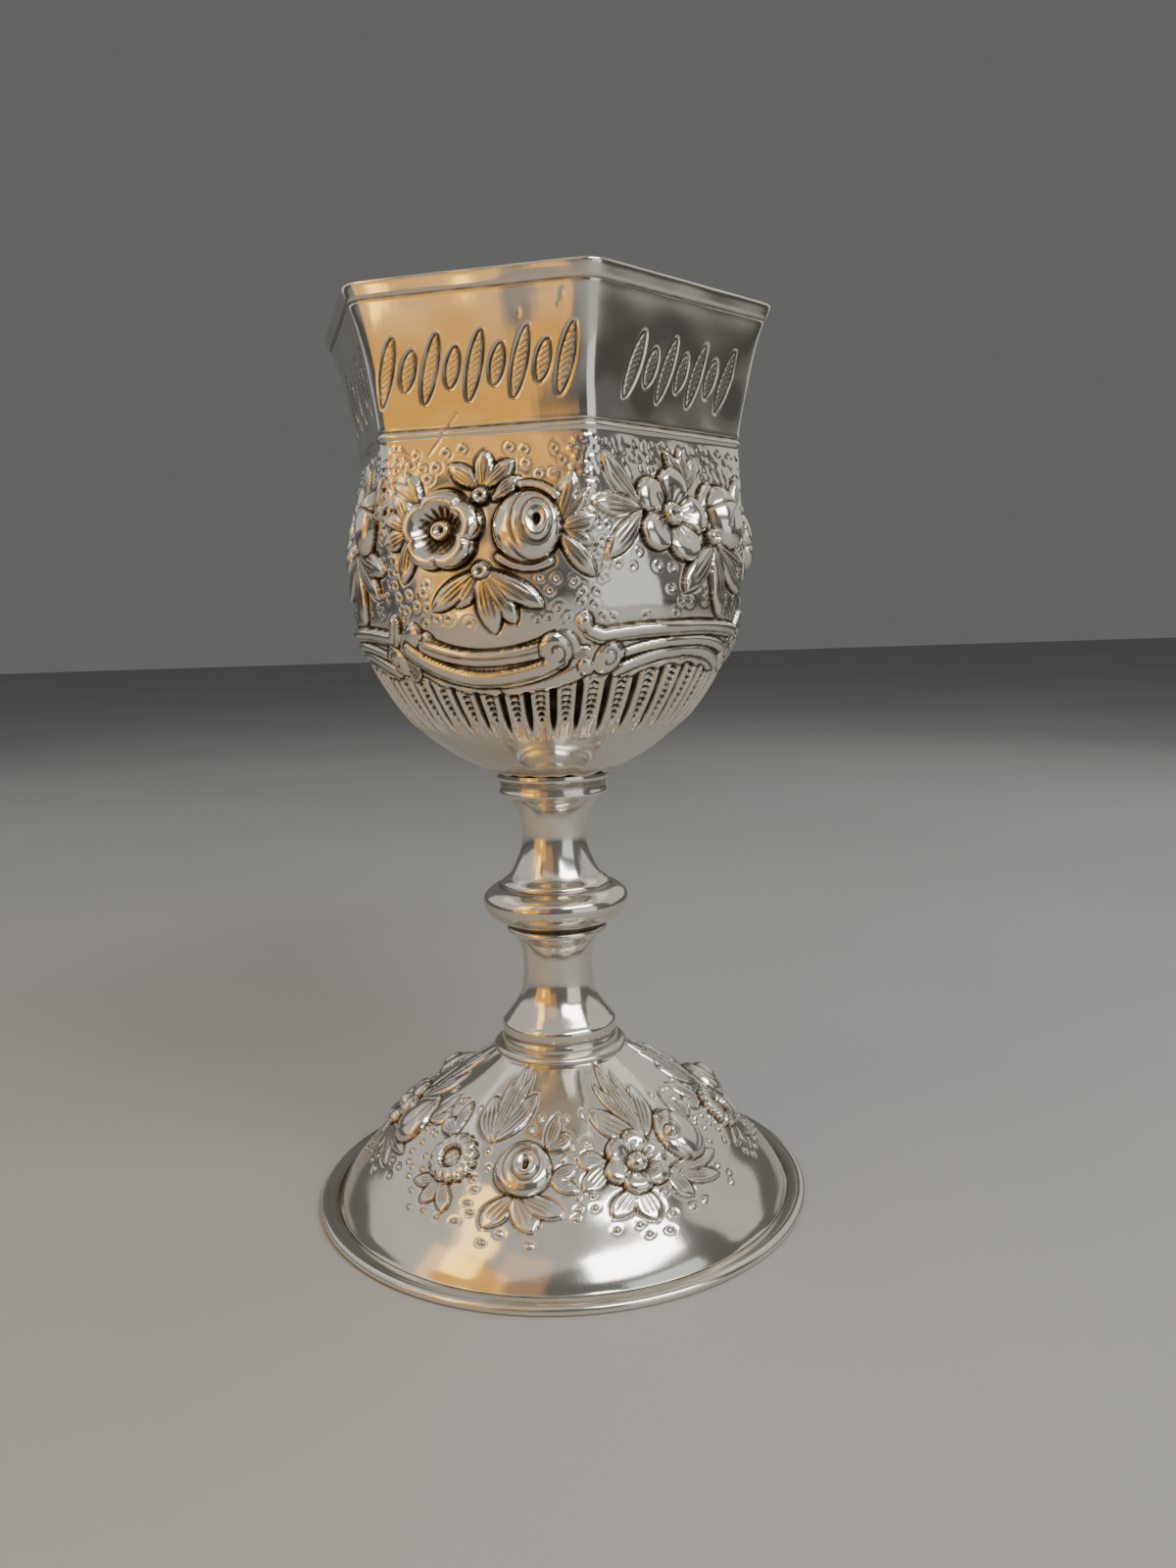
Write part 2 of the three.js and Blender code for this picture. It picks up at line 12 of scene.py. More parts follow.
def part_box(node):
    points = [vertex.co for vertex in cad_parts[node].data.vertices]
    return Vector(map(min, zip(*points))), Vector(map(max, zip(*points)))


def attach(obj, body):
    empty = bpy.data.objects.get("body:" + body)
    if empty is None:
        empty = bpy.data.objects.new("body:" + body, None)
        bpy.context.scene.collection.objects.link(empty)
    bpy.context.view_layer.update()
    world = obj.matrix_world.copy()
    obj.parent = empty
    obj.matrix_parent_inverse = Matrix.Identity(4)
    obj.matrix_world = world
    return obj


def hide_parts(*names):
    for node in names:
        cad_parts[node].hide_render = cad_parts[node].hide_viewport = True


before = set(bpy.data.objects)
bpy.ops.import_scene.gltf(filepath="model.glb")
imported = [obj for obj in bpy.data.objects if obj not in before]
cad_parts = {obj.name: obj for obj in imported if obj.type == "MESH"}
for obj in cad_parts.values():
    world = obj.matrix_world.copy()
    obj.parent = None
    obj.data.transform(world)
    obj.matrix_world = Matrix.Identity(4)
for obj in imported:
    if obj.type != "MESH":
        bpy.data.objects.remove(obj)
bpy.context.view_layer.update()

MM = 0.001

# ---------------------------------------------------------------- sizes

CUP_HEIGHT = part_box("bowl")[1].z / MM
FOOT_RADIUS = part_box("foot")[1].x / MM
WALL = 0.8  # thickness of the raised sheet

BOWL_BASE = 68  # underside of the bowl
FOOT_TOP = 24.3  # top of the foot, under the stem
CREASE = 116  # lower edge of the plain band
LIP_STRIP = 2  # height of the raised strip along the lip

# Azimuths of the bowl's corners. Its faces aren't quite even, as in the photo.
CORNERS = np.array([0, 62.8, 123.4, 184, 244.6, 302.4])
FACES = len(CORNERS)
WORN_FACE = FACES - 1
ROUND_BELOW = 92  # height up to which the bowl is round
SIX_SIDED_ABOVE = 113  # height from which it is six-sided
CORNER_SHARPNESS = 38

FLUTES_PER_FACE = 14
FLUTE_FOOT = 75.2
FLUTE_TOP = 82.2
FLUTE_ARCH = 2.4  # how far the flutes rise under the middle of an arched face

FLANGE_THICKNESS = 1.3
FLANGE_WIDTH = 3
FOOT_RING = 35.9  # inner radius of the ring that the foot stands on
SPRAYS = 6
SPRAY_STEP = 360 / SPRAYS
FIRST_SPRAY = -36.5  # azimuth of the foot's first spray
GARLAND_HEIGHT = 13.6  # height of the middle of the foot's garland
GARLAND_RADIUS = 24.9
GARLAND_RISE = 0.62  # height gained for each millimetre up the slope

# Corner radius of the bowl by height.
BOWL_PROFILE = [
    (BOWL_BASE, 8.8), (69.2, 11.2), (71.4, 15.2), (74.5, 19.3), (78, 22.4), (82.2, 25.2), (86.7, 27.4),
    (91, 28.9), (97, 29.7), (103.5, 30.4), (CREASE, 30), (125, 31.5), (130.5, 33), (CUP_HEIGHT, 34.9),
]

# Radius of the foot's dome by height.
FOOT_PROFILE = [
    (FLANGE_THICKNESS, FOOT_RADIUS - FLANGE_WIDTH), (2.6, 35.3), (5, 33.4), (8, 30.5), (12, 26.8),
    (16, 21.9), (19, 17.1), (21.5, 12.9), (FOOT_TOP - 0.9, 10),
]

# Radius and height along the stem, from its lower collar to its upper one.
STEM_OUTLINE = [
    (8.6, 24.6), (9.3, 24.8), (9.3, 25.6), (9.1, 26), (9, 26.3), (9.1, 26.8), (9.1, 27.9), (8.5, 28.7),
    (7.1, 30.6), (6.1, 32.4), (5.55, 35), (5.6, 38.9), (6.2, 41.2), (6.9, 42.2), (7.1, 42.5), (7.8, 42.7),
    (7.95, 43), (7.85, 43.35), (7.65, 43.5), (7.8, 43.65), (7.9, 43.9), (8.6, 44.3), (10, 45.1),
    (11.1, 46.3), (11.55, 47.5), (11.2, 48.7), (10, 49.7), (9, 50), (8.6, 50.1), (8.6, 50.4), (8.35, 50.8),
    (7.2, 51.7), (6.2, 53.5), (5.3, 56), (5.05, 58.5), (5.5, 61.2), (6.8, 63.6), (7.9, 64.5), (8.4, 64.7),
    (8.45, 65), (8.3, 65.5), (8.25, 66.3), (8.4, 66.9), (8.7, 67), (8.8, 67.3), (8.75, 67.9),
]

SOLDER_SIDE = -8  # azimuth at which the solder ran down the stem
SOLDER_RUNS = [(42.6, 3.2, 50), (64.4, 2.2, 42)]  # top, drop and reach to either side in degrees

FACE_COLUMNS = 10 * FLUTES_PER_FACE
FACE_REACH = 46  # degrees from the middle of a face to which its work may run
SPRAY_REACH = 0.8 * SPRAY_STEP
FOOT_COLUMNS = 720
STEM_COLUMNS = 168
STEM_ROWS = 230

LINE_WIDTH = 0.18  # of a chased line
LINE_DEPTH = 0.22
SHADE_REACH = 4  # rows and columns over which a place lies in the shade of its neighbours

# Colours are linear red, green, blue and alpha.
BRIGHT_SILVER = (0.85, 0.81, 0.735, 1)
CLOUDED_SILVER = (0.75, 0.69, 0.59, 1)
TARNISH = (0.18, 0.145, 0.1, 1)
BLACKENED = (0.025, 0.02, 0.016, 1)
FLOOR_TONES = [(0.38, 0.377, 0.37, 1), (0.42, 0.417, 0.41, 1)]

# ---------------------------------------------------------------- curves and fields


def along(knots, position):
    """Smooth value through (position, value) knots, with its slope."""
    at, value = np.array(knots, float).T
    last = len(at) - 1
    i = np.clip(np.searchsorted(at, position, side="right") - 1, 0, last - 1)
    before, after = np.maximum(i - 1, 0), np.minimum(i + 2, last)
    step = at[i + 1] - at[i]
    t = (position - at[i]) / step
    slope0 = (value[i + 1] - value[before]) / (at[i + 1] - at[before]) * step
    slope1 = (value[after] - value[i]) / (at[after] - at[i]) * step
    drop = value[i] - value[i + 1]
    cubic = 2 * drop + slope0 + slope1
    square = -3 * drop - 2 * slope0 - slope1
    place = ((cubic * t + square) * t + slope0) * t + value[i]
    return place, ((3 * cubic * t + 2 * square) * t + slope0) / step


def smooth(value, low, high):
    """Smooth step from 0 at low to 1 at high."""
    t = np.clip((value - low) / (high - low), 0, 1)
    return t * t * (3 - 2 * t)


def window(value, low, high, fade):
    """1 between low and high, with a fade to 0 at either end."""
    return smooth(value, low, low + fade) * (1 - smooth(value, high - fade, high))


def bump(value, width):
    """A bell that is 1 at 0."""
    return np.exp(-((value / width) ** 2))


def dome(share):
    """Height of a round cushion at a share of the way to its outline."""
    return np.sqrt(np.clip(1 - share * share, 0, 1))


def soften(field, rows, columns):
    """Gaussian blur of a field that closes round in its columns."""
    def kernel(sigma):
        reach = max(1, int(3 * sigma))
        taps = bump(np.arange(-reach, reach + 1), sigma * np.sqrt(2))
        return reach, taps / taps.sum()

    reach, taps = kernel(columns)
    field = sum(tap * np.roll(field, shift - reach, 1) for shift, tap in enumerate(taps))
    reach, taps = kernel(rows)
    padded = np.pad(field, ((reach, reach), (0, 0)), "edge")
    return sum(tap * padded[shift:shift + len(field)] for shift, tap in enumerate(taps))


def ripple(azimuth, height, seed, waves, size):
    """Slow unevenness left by the hammer, as a sum of waves that closes round."""
    draw = np.random.default_rng(seed)
    total = 0
    for _ in range(waves):
        turns, tilt, phase = draw.integers(2, 19), draw.uniform(-0.5, 0.5), draw.uniform(0, 2 * np.pi)
        total = total + np.sin(np.radians(azimuth) * turns + height * tilt + phase)
    return size * total / np.sqrt(waves)


# ---------------------------------------------------------------- chased work


class Chasing:
    """Raised forms and chased lines over a patch of skin."""

    def __init__(self, x, y):
        self.x, self.y = np.broadcast_arrays(x, y)
        self.raised = np.zeros(self.x.shape)
        self.line = np.zeros(self.x.shape)

    def local(self, centre, turn=0):
        """Places measured from a centre, along axes turned counterclockwise."""
        c, s = np.cos(np.radians(turn)), np.sin(np.radians(turn))
        dx, dy = self.x - centre[0], self.y - centre[1]
        return dx * c + dy * s, dy * c - dx * s

    def lay(self, height, edge, carved=0, outline=1):
        """Lays a form on top. edge is the distance inside its outline, carved the strength of its lines."""
        top = (edge > 0) & (height > self.raised)
        self.raised = np.where(top, height, self.raised)
        rim = outline * bump(edge + LINE_WIDTH / 2, LINE_WIDTH)
        below = ~top & (self.raised < 0.8 * np.max(height, initial=0, where=edge > 0))
        beside = np.where(below, np.maximum(self.line, rim), self.line)
        self.line = np.where(top, np.maximum(carved, 0.5 * rim), beside)

    def cut(self, strength):
        """Cuts lines into whatever is there."""
        self.line = np.maximum(self.line, strength)

    def cushion(self, centre, reach, across, turn, height):
        """A smooth oval dome."""
        a, b = self.local(centre, turn)
        share = np.hypot(a / reach, b / across)
        self.lay(height * dome(share), across * (1 - share))

    def eyelet(self, centre, radius, height):
        """A ring round a punched hole."""
        share = np.hypot(*self.local(centre)) / radius
        crest = 0.62
        cup = 1 - 0.75 * bump(share / crest, 0.62)
        body = np.where(share > crest, dome((share - crest) / (1 - crest)), cup)
        self.lay(height * (0.25 + 0.75 * body), radius * (1 - share), bump(share / 0.26, 1))

    def punch(self, centre, radius=0.52):
        """A small ring struck into the ground round a pit."""
        distance = np.hypot(*self.local(centre))
        free = self.raised < 0.05
        struck = np.maximum(0.85 * bump(distance, 0.26), 0.25 * bump(distance - 1.75 * radius, 0.15))
        ring = 0.08 * bump(distance - radius, 0.2)
        self.line = np.where(free, np.maximum(self.line, struck), self.line)
        self.raised = np.where(free, np.maximum(self.raised, ring), self.raised)

    def pebble(self, centre, radius=0.62):
        """A low lump in the ground."""
        share = np.hypot(*self.local(centre)) / radius
        free = self.raised < 0.2
        self.raised = np.where(free, np.maximum(self.raised, 0.16 * dome(share)), self.raised)

    def bead(self, centre, radius=0.42, height=0.28):
        """A small raised dot with a ring struck round it."""
        share = np.hypot(*self.local(centre)) / radius
        self.lay(height * dome(share), radius * (1 - share), 0, 0.6)

    def leaf(self, base, tip, width, height, veins=(-0.36, 0.08, 0.5)):
        """A pointed leaf with veins at the given shares of its half width."""
        run, rise = tip[0] - base[0], tip[1] - base[1]
        length = np.hypot(run, rise)
        a, b = self.local(base, np.degrees(np.arctan2(rise, run)))
        t = np.clip(a / length, 0, 1)
        half = 0.5 * width * np.sin(np.pi * t**1.3) ** 0.65 + 0.01
        inside = (a > 0) & (a < length)
        edge = np.where(inside, 0.8 * (half - np.abs(b)), -np.hypot(b, np.maximum(-a, a - length)))
        across = np.clip(b / half, -1, 1)
        body = height * (0.55 + 0.45 * np.sin(np.pi * t**0.8)) * (0.3 + 0.7 * dome(across))
        grooves = sum(bump(across - vein, 0.14) for vein in veins) * window(t, 0.02, 0.84, 0.22)
        self.lay(body, edge, np.clip(0.9 * grooves, 0, 0.8))

    def fan(self, base, tips, width, height):
        """Leaves that spread from one base."""
        for tip in tips:
            self.leaf(base, tip, width, height)

    def petals(self, centre, count, first_angle, distance, radius, height):
        """Broad petals like spoons, with short strokes towards their centre and a line between each two."""
        for turn in range(count):
            a, b = self.local(centre, first_angle + 360 * turn / count)
            share = np.hypot((a - distance) / radius, b / radius)
            middle = window(a, 0.1 * distance, 1.3 * distance, 0.5 * distance)
            cup = 1 - 0.25 * bump(b, 0.4 * radius) * middle
            rise = 0.4 + 0.6 * smooth(a, 0.2 * distance, 1.2 * distance)
            body = height * dome(share) ** 0.45 * cup * rise
            rays = (0.5 + 0.5 * np.cos(20 * np.arctan2(b, a))) ** 3
            strokes = rays * window(a, 0.25 * distance, 0.95 * distance, 0.35 * distance)
            self.lay(body, radius * (1 - share), 0.8 * strokes)
        for turn in range(count):
            a, b = self.local(centre, first_angle + 360 * (turn + 0.5) / count)
            self.cut(0.9 * bump(b, 0.17) * window(a, 0.2 * distance, 1.3 * distance, 0.2 * distance))

    def cupped_flower(self, centre, lobes, first_angle, reach, height):
        """A flower whose petals stand up round a deep cup."""
        a, b = self.local(centre, first_angle)
        out, turn = np.hypot(a, b), np.arctan2(b, a)
        lobe = np.abs(np.cos(lobes * turn / 2))
        share = out / (reach * (0.85 + 0.15 * lobe**0.6))
        crest = 0.74
        cup = 0.22 + 0.78 * smooth(share, 0.3, crest)
        body = np.where(share > crest, dome((share - crest) / (1 - crest)), cup)
        notch = bump(lobe * out, 0.45) * smooth(share, 0.62, 0.9)
        rays = (0.5 + 0.5 * np.cos(18 * turn)) ** 2 * window(share, 0.26, 0.62, 0.12)
        pits = (0.5 + 0.5 * np.sin(6.5 * self.x) * np.sin(6.5 * self.y)) * window(share, 0.26, 0.6, 0.1)
        carved = np.clip(np.where(np.cos(turn) > 0.5, rays, 0.8 * pits) + 0.7 * notch, 0, 1)
        self.lay(height * body * (1 - 0.15 * notch), reach * (1 - share), carved)

    def daisy(self, centre, radius, count, height):
        """Fine petals round a matted middle."""
        a, b = self.local(centre)
        out, turn = np.hypot(a, b), np.arctan2(b, a)
        lobe = np.abs(np.cos(count * turn / 2))
        share = out / (radius * (0.86 + 0.14 * lobe**0.7))
        middle = 0.45
        gaps = bump(lobe * out, 0.3) * smooth(share, middle, middle + 0.12)
        matting = 0.7 * (0.5 + 0.5 * np.sin(5 * self.x) * np.sin(5 * self.y)) * (share < 0.3)
        body = np.where(share > middle, dome((share - 0.62) / 0.5), 0.45)
        ring = bump(share - 0.38, 0.07)
        self.lay(height * body, radius * (1 - share), np.clip(gaps + matting + ring, 0, 1))

    def rose(self, centre, reach, across, height, eye, fold=(1.8, 2.5)):
        """A round bud with a deep eye, a fold standing round the eye and crescent petals behind it."""
        share = np.hypot(*(part / size for part, size in zip(self.local(centre), (reach, across))))
        a, b = self.local(eye)
        out, turn = np.hypot(a, b), np.arctan2(b, a)
        fold_share = np.hypot(a / fold[0], b / fold[1])
        hollow = smooth(1 - np.hypot(a / 0.55, b / 1.05), 0, 0.6)
        lines = bump(fold_share - 1.05, 0.1)
        for size, side in ((1.72, 170), (2.1, -80)):
            lines = lines + bump(fold_share - size, 0.1) * smooth(np.cos(turn - np.radians(side)), 0.2, 0.7)
        stand = 0.35 * bump(fold_share - 0.72, 0.22) - 0.15 * smooth(fold_share, 0.95, 1.1)
        body = height * dome(share) ** 0.8 + stand - 0.7 * hollow
        self.lay(body, across * (1 - share), np.clip(0.9 * lines + 0.6 * hollow, 0, 1))

    def ridge(self, path, width, height, lines=()):
        """A rounded ridge along a path, with fine lines at the given shares of its half width."""
        distance, _, side = self.nearest(path)
        share = distance / (width / 2)
        fine = sum((bump(side * share - line, 0.22) for line in lines), np.zeros(share.shape))
        self.lay(height * dome(share) ** 0.5, width / 2 - distance, 0.7 * fine)

    def groove(self, path, strength, width=0.2):
        """A chased line along a path, over whatever is there."""
        self.cut(strength * bump(self.nearest(path)[0], width))

    def milling(self, path, pitch, width):
        """A row of short strokes along a path."""
        distance, run, _ = self.nearest(path)
        strokes = (0.5 + 0.5 * np.cos(2 * np.pi * run / pitch)) ** 2
        self.cut(strokes * bump(distance, width))

    def nearest(self, path):
        """Distance to a path, the length run along it to there, and on which side of it."""
        path = np.array(path, float)
        best = np.full(self.x.shape, np.inf)
        run, side = np.zeros(self.x.shape), np.ones(self.x.shape)
        passed = 0
        for (x0, y0), (x1, y1) in zip(path, path[1:]):
            dx, dy = x1 - x0, y1 - y0
            length = np.hypot(dx, dy)
            t = np.clip(((self.x - x0) * dx + (self.y - y0) * dy) / length**2, 0, 1)
            off_x, off_y = self.x - x0 - t * dx, self.y - y0 - t * dy
            distance = np.hypot(off_x, off_y)
            closer = distance < best
            best = np.where(closer, distance, best)
            run = np.where(closer, passed + t * length, run)
            side = np.where(closer, np.sign(dx * off_y - dy * off_x), side)
            passed += length
        return best, run, side

    def scatter(self, mark, seed, low, high, pitch=2.1, clear=0.9, reach=2.5):
        """Small marks on the ground close round the raised forms, between two heights."""
        draw = np.random.default_rng(seed)
        forms = self.raised > 0.05
        widest = np.abs(self.x).max()
        for row, y in enumerate(np.arange(low, high, pitch * 0.8)):
            for x in np.arange(-widest, widest, pitch) + (row % 2) * pitch / 2:
                place = (x + draw.uniform(-0.5, 0.5), y + draw.uniform(-0.4, 0.4))
                distance = np.hypot(*self.local(place))
                if not forms[distance < clear].any() and forms[distance < reach].any():
                    mark(place)

    def onto(self, whole, columns):
        """Lays this patch on the given columns of a whole skin."""
        raised, line = whole.raised[:, columns], whole.line[:, columns]
        top = self.raised > raised
        even = self.raised == raised
        whole.line[:, columns] = np.where(top, self.line, np.where(even, np.maximum(line, self.line), line))
        whole.raised[:, columns] = np.maximum(raised, self.raised)


def curve_path(start, end, steps, place):
    """Points along a curve, given as a function that places each one."""
    return [place(at) for at in np.linspace(start, end, steps + 1)]


def arc_path(centre, radius, start, end, steps, last_radius=None):
    """An arc, or a spiral where the last radius differs."""
    radii = np.linspace(radius, radius if last_radius is None else last_radius, steps + 1)
    angles = np.radians(np.linspace(start, end, steps + 1))
    return list(zip(centre[0] + radii * np.cos(angles), centre[1] + radii * np.sin(angles)))


# ---------------------------------------------------------------- the bowl's work


def rose_spray(work):
    """A cupped flower and a rose side by side, with leaves all round."""
    flower, rose = (-4.9, 103.3), (6.1, 103.4)
    work.fan((0.2, 108.4), [(-4.6, 111.8), (4.2, 112), (0.3, 113.4)], 2.5, 0.9)
    work.fan((9.8, 102.8), [(12.2, 109.7), (15.8, 104.3), (15, 96.9)], 2.9, 1.1)
    work.fan((10.2, 103.4), [(14.2, 107.6), (15, 100.8)], 1.7, 1)
    work.fan((-9.2, 103.4), [(-12.4, 108.6), (-14, 105.2), (-14, 101.6), (-11.2, 96.6)], 2.6, 0.9)
    work.fan((-8.2, 107), [(-10.6, 110.8), (-12.6, 109.8)], 1.8, 0.7)
    work.fan((0.3, 98.2), [(-3, 93.2), (-6.3, 92.8), (4.2, 91), (7.7, 93), (1.6, 89.7)], 2.8, 1)
    work.leaf((1.4, 106.8), (5.2, 109.8), 2.2, 1.2)
    work.ridge(arc_path(rose, 5.3, 98, 46, 8), 1.2, 1.1)
    work.ridge(arc_path(rose, 5.2, 228, 300, 10), 1.2, 0.9)
    work.eyelet((0, 107.6), 1.1, 1.3)
    work.eyelet((0.3, 98), 1.1, 1.3)
    work.rose(rose, 4.4, 4.7, 2.8, (7.4, 104.1))
    work.cupped_flower(flower, 5, 90, 5.4, 2.4)
    work.eyelet(flower, 1.4, 1.5)


def bud_spray(work):
    """An open flower and a plum-shaped bud side by side, with leaves all round."""
    flower, bud = (-2.1, 105.1), (8.8, 105.1)
    work.fan((-7.2, 105.5), [(-13.4, 112.5), (-15.2, 106.2), (-13.4, 99.2)], 3.1, 1.1)
    work.fan((2.4, 108.6), [(-1.6, 113.6), (4.8, 113.1), (1.5, 114.2)], 2.1, 0.9)
    work.fan((5, 101.5), [(-1.6, 94.7), (11.6, 94.7), (13.8, 98.3), (5.5, 91.3)], 3.3, 1)
    work.fan((11.2, 105.6), [(14.2, 111), (15, 106.8)], 1.9, 0.9)
    work.ridge(arc_path(bud, 4.7, 118, 208, 10), 1, 1)
    work.cushion(bud, 3.2, 4.5, 0, 2.5)
    work.groove(curve_path(-3, 3, 6, lambda x: (bud[0] + x, bud[1] + 2.2 - 0.1 * x * x)), 0.9)
    work.groove(arc_path((11.6, 102.8), 4.4, 95, 165, 8), 0.6)
    work.petals(flower, 5, 1, 3.85, 2.6, 1.5)
    work.eyelet(flower, 1.6, 1.5)
    work.eyelet((4.9, 102.3), 1.1, 1.5)


def scroll_head(work, centre, start, end):
    """The round head of a scroll, with its curl chased in between two angles."""
    work.cushion(centre, 2.1, 2.3, 0, 0.95)
    work.groove(arc_path(centre, 1.35, start, end, 16, 0.45), 0.95, 0.17)


def bow(middle, rise, scallop=0):
    """Places on a curve that rises from its height in the middle of a face, with small scallops."""
    span, scallop_turn = 10, 0.9
    return lambda x: (x, middle + scallop * abs(np.sin(scallop_turn * x)) + rise * (x / span) ** 2)


def sagging_scroll(work):
    """A scroll that sags between two corners and curls up at its right end."""
    work.ridge(curve_path(-10, 10, 60, bow(81.9, 2.5, 0.35)), 1, 0.3)
    work.ridge([(2, 82.5), (7, 83.2), (10.5, 84.2), (12.6, 85.2)], 2, 0.6)
    work.cushion((12.5, 85.2), 1.3, 1.2, 0, 0.75)
    work.leaf((10, 86.2), (13.8, 87.4), 1.6, 0.5)
    work.fan((-10, 85.2), [(-13.4, 83.8), (-13.6, 86.4)], 2.2, 0.6)
    work.cushion((-12, 88.1), 1.4, 1.6, 20, 0.6)
    work.cushion((-8.3, 89), 1.3, 1.1, 0, 0.6)
    work.cushion((-10.3, 89.4), 1.7, 1.9, 0, 0.75)
    work.ridge(curve_path(-11, 9.6, 22, bow(85, 2.7)), 5, 0.42)
    work.ridge(curve_path(-8.6, 6.6, 22, bow(86.5, 2.2)), 1.9, 0.72, (0.1,))
    work.ridge(curve_path(-11.6, 9, 24, bow(83.7, 3)), 2.2, 0.85, (-0.5,))
    scroll_head(work, (8.6, 87.4), -80, 190)
    work.milling(curve_path(-8.6, 7, 24, bow(85, 2.7)), 0.6, 0.25)


def arched_scroll(work):
    """A scroll that arches between two corners, with a curl under each end."""
    work.ridge(curve_path(-8.4, 8.4, 60, bow(85.4, -2.4, 0.4)), 1.1, 0.4)
    work.ridge(curve_path(-12.6, 12.6, 26, bow(88.6, -0.9)), 3.8, 0.42)
    work.ridge(curve_path(-9.4, 9.4, 22, bow(86.9, -2.7)), 1.5, 0.55)
    for place in curve_path(-4.4, 4.4, 4, bow(85.7, -2.4)):
        work.punch(place, 0.6)
    sweep = [(-15.8, 90.6), (-15.1, 89.8), (-14, 89.4)]
    tail = [(13.6, 90), (14.4, 91.4)]
    work.ridge(sweep + curve_path(-13, 12.8, 30, bow(90, -0.5)) + tail, 1.9, 0.85, (-0.5,))
    work.cushion((-16.1, 91), 1.3, 1.2, 0, 0.95)
    work.ridge(curve_path(-9.9, 9.9, 22, bow(88.3, -1.6)), 1.3, 0.72)
    for side in (-1, 1):
        scroll_head(work, (side * 11.4, 86.3), 90 - side * 30, 90 + side * 250)


def is_arched(face):
    """Faces with an arched scroll and faces with a sagging one take turns."""
    return face % 2 == 0


def flutes(work):
    """Ribs between slots, which are narrow and dark, or wider and laddered with short bars, in turn."""
    height = work.y
    face, middle, half = face_at(work.x)
    side = (work.x - middle) / half
    pitch = along(BOWL_PROFILE, height)[0] * np.radians(2 * half) / FLUTES_PER_FACE
    place = (side + 1) / 2 * FLUTES_PER_FACE
    off = np.abs(place - np.floor(place) - 0.5) * pitch
    is_laddered = np.floor(place) % 2 == 0
    round_end, bar_pitch = 0.9, 0.85
    top = FLUTE_TOP + round_end + np.where(is_arched(face), FLUTE_ARCH * (1 - side**2), 0.6 * side**2)
    start = FLUTE_FOOT + np.where(is_laddered, 0.6, -0.8)
    widest = np.where(is_laddered, 0.38, 0.25) * pitch
    rounded = np.sqrt(np.clip((top - height) / round_end, 0, 1))
    within = widest * rounded * smooth(height, start, start + 4)
    slot = smooth(within - off, -0.06, 0.16) * smooth(within, 0, 0.2)
    bars = smooth(np.cos(2 * np.pi * (height + 0.3 * off) / bar_pitch), -0.45, 0.35) * is_laddered
    rib = 0.32 * smooth(height, start, start + 3) * (1 - smooth(height, top - 0.2, top + 0.5))
    free = work.raised < 0.02
    floor = rib * (1 - slot) - slot * np.where(is_laddered, 0.16 - 0.3 * bars, 0.36)
    dark = slot * np.where(is_laddered, 0.85 - 0.8 * bars, 0.8)
    work.raised = np.where(free, floor, work.raised)
    work.line = np.where(free, np.maximum(work.line, dark), work.line)


def strokes(work, left, right):
    """A row of slim leaning strokes, long and short in turn, outlined and hatched."""
    pitch, lean, middle = 3.1, 72, 123.9
    long_stroke, short_stroke, half_width = 9, 5.4, 0.95
    count = int((right - left) / pitch)
    for i in range(count + 1):
        x = (left + right) / 2 + (i - count / 2) * pitch
        length = short_stroke if i % 2 else long_stroke
        a, b = work.local((x, middle), lean)
        half = half_width * np.clip(1 - (2 * a / length) ** 2, 0, 1) ** 0.7
        edge = np.where(np.abs(a) < length / 2, half - np.abs(b), -1)
        hatching = (0.5 + 0.5 * np.cos(2 * np.pi * (a + b) / 0.8)) ** 2 * smooth(edge, 0.2, 0.35)
        work.cut(np.maximum(bump(edge, 0.2), 0.65 * hatching))


def wear(work):
    """Three pits in the plain band of one face, and a scratch that crosses its lower edge."""
    for place, radius in (((12.2, 131), 0.3), ((11.7, 129.9), 0.22), ((6.2, 129.6), 0.2)):
        work.cut(bump(np.hypot(*work.local(place)), radius))
    work.groove([(-3.1, 118.6), (-5.6, 115.6), (-7.7, 113.2)], 0.7, 0.09)


# ---------------------------------------------------------------- skins


def face_at(azimuth):
    """The face of the bowl at an azimuth, with its middle and half width in degrees."""
    ends = np.append(CORNERS[1:], 360)
    face = np.clip(np.searchsorted(CORNERS, np.mod(azimuth, 360) + 1e-6) - 1, 0, FACES - 1)
    return face, ((CORNERS + ends) / 2)[face], ((ends - CORNERS) / 2)[face]


def turn_from(middle, azimuth):
    """Degrees from a middle to an azimuth, from -180 to 180."""
    return np.mod(azimuth - middle + 180, 360) - 180


def six_sided_share(azimuth, height):
    """Ratio of the bowl's radius to its corner radius, with each corner a little rounded."""
    _, middles, halves = face_at(CORNERS + 1)
    planes = [
        np.clip(np.cos(np.radians(azimuth - middle)), 0, 1) / np.cos(np.radians(half))
        for middle, half in zip(middles, halves)
    ]
    flat = sum(plane**CORNER_SHARPNESS for plane in planes) ** (-1 / CORNER_SHARPNESS)
    return 1 + (flat - 1) * smooth(height, ROUND_BELOW, SIX_SIDED_ABOVE)


def grid(azimuth, radius, height):
    """Points of a skin, by row and column."""
    angle = np.radians(azimuth)
    return np.stack(np.broadcast_arrays(radius * np.sin(angle), -radius * np.cos(angle), height), -1)


def rings(azimuth, outline):
    """The points and shades of plain rings, from (radius, height, shade) places."""
    radius, height, shade = np.array(outline).T[:, :, None]
    return grid(azimuth, radius, height), shade + 0 * azimuth


def face_columns(per_face):
    """Azimuths of a skin's columns, evenly spaced over each face, with one on every corner."""
    ends = np.append(CORNERS[1:], 360)
    return np.concatenate([np.linspace(a, b, per_face, endpoint=False) for a, b in zip(CORNERS, ends)])


